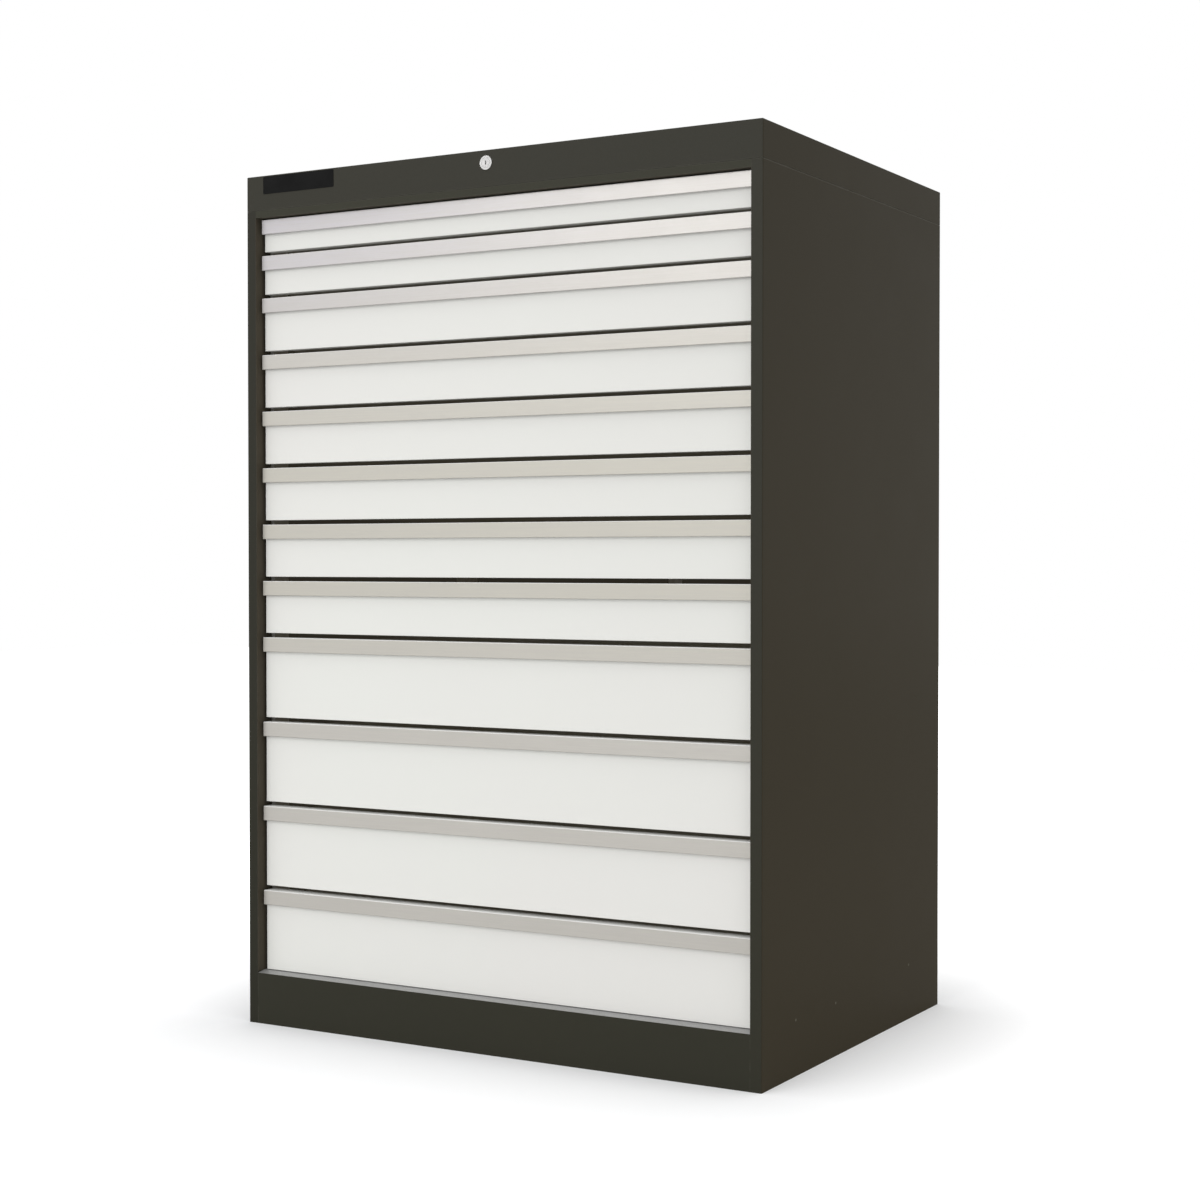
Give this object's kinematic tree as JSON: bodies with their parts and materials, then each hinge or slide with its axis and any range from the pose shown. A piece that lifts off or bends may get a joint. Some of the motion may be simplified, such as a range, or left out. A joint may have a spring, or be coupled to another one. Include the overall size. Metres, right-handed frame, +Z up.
{
  "type": "drawer cabinet",
  "caption": "Tall free-standing steel cabinet with a stack of full-width drawers on telescopic slides, a plinth base and a central lock in its header.",
  "frame": {"origin": "on the floor, at the middle of the cabinet's outer box", "axes": "+X to the right of someone facing the drawers, +Y to the rear, +Z up"},
  "size_m": [1.01, 0.7562, 1.5],
  "materials": {
    "housing": "semi-gloss powder coat, dark anthracite",
    "front_paint": "satin powder coat, light grey",
    "tray_paint": "satin powder coat, light grey",
    "handle_metal": "satin anodised",
    "galvanised": "zinc plated",
    "lock_metal": "nickel plated"
  },
  "bodies": {
    "cabinet": {"side_panel_left": "housing", "side_panel_right": "housing", "back_panel": "housing", "top_panel": "housing", "header_rail": "housing", "base_frame": "housing", "slotted_uprights": "galvanised", "fixed_rails": "galvanised", "lock_barrel": "lock_metal"},
    "drawer_01": {"drawer_01_tray": "tray_paint", "drawer_01_front": "front_paint", "drawer_01_handle": "handle_metal"},
    "slide_01": {"carriage_01": "galvanised"},
    "drawer_02": {"drawer_02_tray": "tray_paint", "drawer_02_front": "front_paint", "drawer_02_handle": "handle_metal"},
    "slide_02": {"carriage_02": "galvanised"},
    "drawer_03": {"drawer_03_tray": "tray_paint", "drawer_03_front": "front_paint", "drawer_03_handle": "handle_metal"},
    "slide_03": {"carriage_03": "galvanised"},
    "drawer_04": {"drawer_04_tray": "tray_paint", "drawer_04_front": "front_paint", "drawer_04_handle": "handle_metal"},
    "slide_04": {"carriage_04": "galvanised"},
    "drawer_05": {"drawer_05_tray": "tray_paint", "drawer_05_front": "front_paint", "drawer_05_handle": "handle_metal"},
    "slide_05": {"carriage_05": "galvanised"},
    "drawer_06": {"drawer_06_tray": "tray_paint", "drawer_06_front": "front_paint", "drawer_06_handle": "handle_metal"},
    "slide_06": {"carriage_06": "galvanised"},
    "drawer_07": {"drawer_07_tray": "tray_paint", "drawer_07_front": "front_paint", "drawer_07_handle": "handle_metal"},
    "slide_07": {"carriage_07": "galvanised"},
    "drawer_08": {"drawer_08_tray": "tray_paint", "drawer_08_front": "front_paint", "drawer_08_handle": "handle_metal"},
    "slide_08": {"carriage_08": "galvanised"},
    "drawer_09": {"drawer_09_tray": "tray_paint", "drawer_09_front": "front_paint", "drawer_09_handle": "handle_metal"},
    "slide_09": {"carriage_09": "galvanised"},
    "drawer_10": {"drawer_10_tray": "tray_paint", "drawer_10_front": "front_paint", "drawer_10_handle": "handle_metal"},
    "slide_10": {"carriage_10": "galvanised"},
    "drawer_11": {"drawer_11_tray": "tray_paint", "drawer_11_front": "front_paint", "drawer_11_handle": "handle_metal"},
    "slide_11": {"carriage_11": "galvanised"},
    "drawer_12": {"drawer_12_tray": "tray_paint", "drawer_12_front": "front_paint", "drawer_12_handle": "handle_metal"},
    "slide_12": {"carriage_12": "galvanised"},
    "lock_core": {"lock_plug": "lock_metal", "lock_rod": "galvanised"},
    "lock_slider": {"lock_bar": "galvanised"}
  },
  "joints": [
    {"name": "drawer_01_slide", "type": "slide", "parent": "cabinet", "child": "drawer_01", "axis": [0, -1, 0], "range_m": [0, 0.6]},
    {"name": "carriage_01_slide", "type": "slide", "parent": "cabinet", "child": "slide_01", "axis": [0, -1, 0], "range_m": [0, 0.3]},
    {"name": "drawer_02_slide", "type": "slide", "parent": "cabinet", "child": "drawer_02", "axis": [0, -1, 0], "range_m": [0, 0.6]},
    {"name": "carriage_02_slide", "type": "slide", "parent": "cabinet", "child": "slide_02", "axis": [0, -1, 0], "range_m": [0, 0.3]},
    {"name": "drawer_03_slide", "type": "slide", "parent": "cabinet", "child": "drawer_03", "axis": [0, -1, 0], "range_m": [0, 0.6]},
    {"name": "carriage_03_slide", "type": "slide", "parent": "cabinet", "child": "slide_03", "axis": [0, -1, 0], "range_m": [0, 0.3]},
    {"name": "drawer_04_slide", "type": "slide", "parent": "cabinet", "child": "drawer_04", "axis": [0, -1, 0], "range_m": [0, 0.6]},
    {"name": "carriage_04_slide", "type": "slide", "parent": "cabinet", "child": "slide_04", "axis": [0, -1, 0], "range_m": [0, 0.3]},
    {"name": "drawer_05_slide", "type": "slide", "parent": "cabinet", "child": "drawer_05", "axis": [0, -1, 0], "range_m": [0, 0.6]},
    {"name": "carriage_05_slide", "type": "slide", "parent": "cabinet", "child": "slide_05", "axis": [0, -1, 0], "range_m": [0, 0.3]},
    {"name": "drawer_06_slide", "type": "slide", "parent": "cabinet", "child": "drawer_06", "axis": [0, -1, 0], "range_m": [0, 0.6]},
    {"name": "carriage_06_slide", "type": "slide", "parent": "cabinet", "child": "slide_06", "axis": [0, -1, 0], "range_m": [0, 0.3]},
    {"name": "drawer_07_slide", "type": "slide", "parent": "cabinet", "child": "drawer_07", "axis": [0, -1, 0], "range_m": [0, 0.6]},
    {"name": "carriage_07_slide", "type": "slide", "parent": "cabinet", "child": "slide_07", "axis": [0, -1, 0], "range_m": [0, 0.3]},
    {"name": "drawer_08_slide", "type": "slide", "parent": "cabinet", "child": "drawer_08", "axis": [0, -1, 0], "range_m": [0, 0.6]},
    {"name": "carriage_08_slide", "type": "slide", "parent": "cabinet", "child": "slide_08", "axis": [0, -1, 0], "range_m": [0, 0.3]},
    {"name": "drawer_09_slide", "type": "slide", "parent": "cabinet", "child": "drawer_09", "axis": [0, -1, 0], "range_m": [0, 0.6]},
    {"name": "carriage_09_slide", "type": "slide", "parent": "cabinet", "child": "slide_09", "axis": [0, -1, 0], "range_m": [0, 0.3]},
    {"name": "drawer_10_slide", "type": "slide", "parent": "cabinet", "child": "drawer_10", "axis": [0, -1, 0], "range_m": [0, 0.6]},
    {"name": "carriage_10_slide", "type": "slide", "parent": "cabinet", "child": "slide_10", "axis": [0, -1, 0], "range_m": [0, 0.3]},
    {"name": "drawer_11_slide", "type": "slide", "parent": "cabinet", "child": "drawer_11", "axis": [0, -1, 0], "range_m": [0, 0.6]},
    {"name": "carriage_11_slide", "type": "slide", "parent": "cabinet", "child": "slide_11", "axis": [0, -1, 0], "range_m": [0, 0.3]},
    {"name": "drawer_12_slide", "type": "slide", "parent": "cabinet", "child": "drawer_12", "axis": [0, -1, 0], "range_m": [0, 0.6]},
    {"name": "carriage_12_slide", "type": "slide", "parent": "cabinet", "child": "slide_12", "axis": [0, -1, 0], "range_m": [0, 0.3]},
    {"name": "lock_turn", "type": "hinge", "parent": "cabinet", "child": "lock_core", "pos_m": [0, -0.3769, 1.479], "axis": [0, 1, 0], "range_deg": [0, 90]},
    {"name": "lock_bar_slide", "type": "slide", "parent": "cabinet", "child": "lock_slider", "axis": [0, 0, 1], "range_m": [0, 0.01]}
  ],
  "couplings": [
    {"joint": "carriage_01_slide", "follows": "drawer_01_slide", "ratio": 0.5},
    {"joint": "carriage_02_slide", "follows": "drawer_02_slide", "ratio": 0.5},
    {"joint": "carriage_03_slide", "follows": "drawer_03_slide", "ratio": 0.5},
    {"joint": "carriage_04_slide", "follows": "drawer_04_slide", "ratio": 0.5},
    {"joint": "carriage_05_slide", "follows": "drawer_05_slide", "ratio": 0.5},
    {"joint": "carriage_06_slide", "follows": "drawer_06_slide", "ratio": 0.5},
    {"joint": "carriage_07_slide", "follows": "drawer_07_slide", "ratio": 0.5},
    {"joint": "carriage_08_slide", "follows": "drawer_08_slide", "ratio": 0.5},
    {"joint": "carriage_09_slide", "follows": "drawer_09_slide", "ratio": 0.5},
    {"joint": "carriage_10_slide", "follows": "drawer_10_slide", "ratio": 0.5},
    {"joint": "carriage_11_slide", "follows": "drawer_11_slide", "ratio": 0.5},
    {"joint": "carriage_12_slide", "follows": "drawer_12_slide", "ratio": 0.5},
    {"joint": "lock_turn", "follows": "lock_bar_slide", "rad_per_m": 157.08}
  ]
}
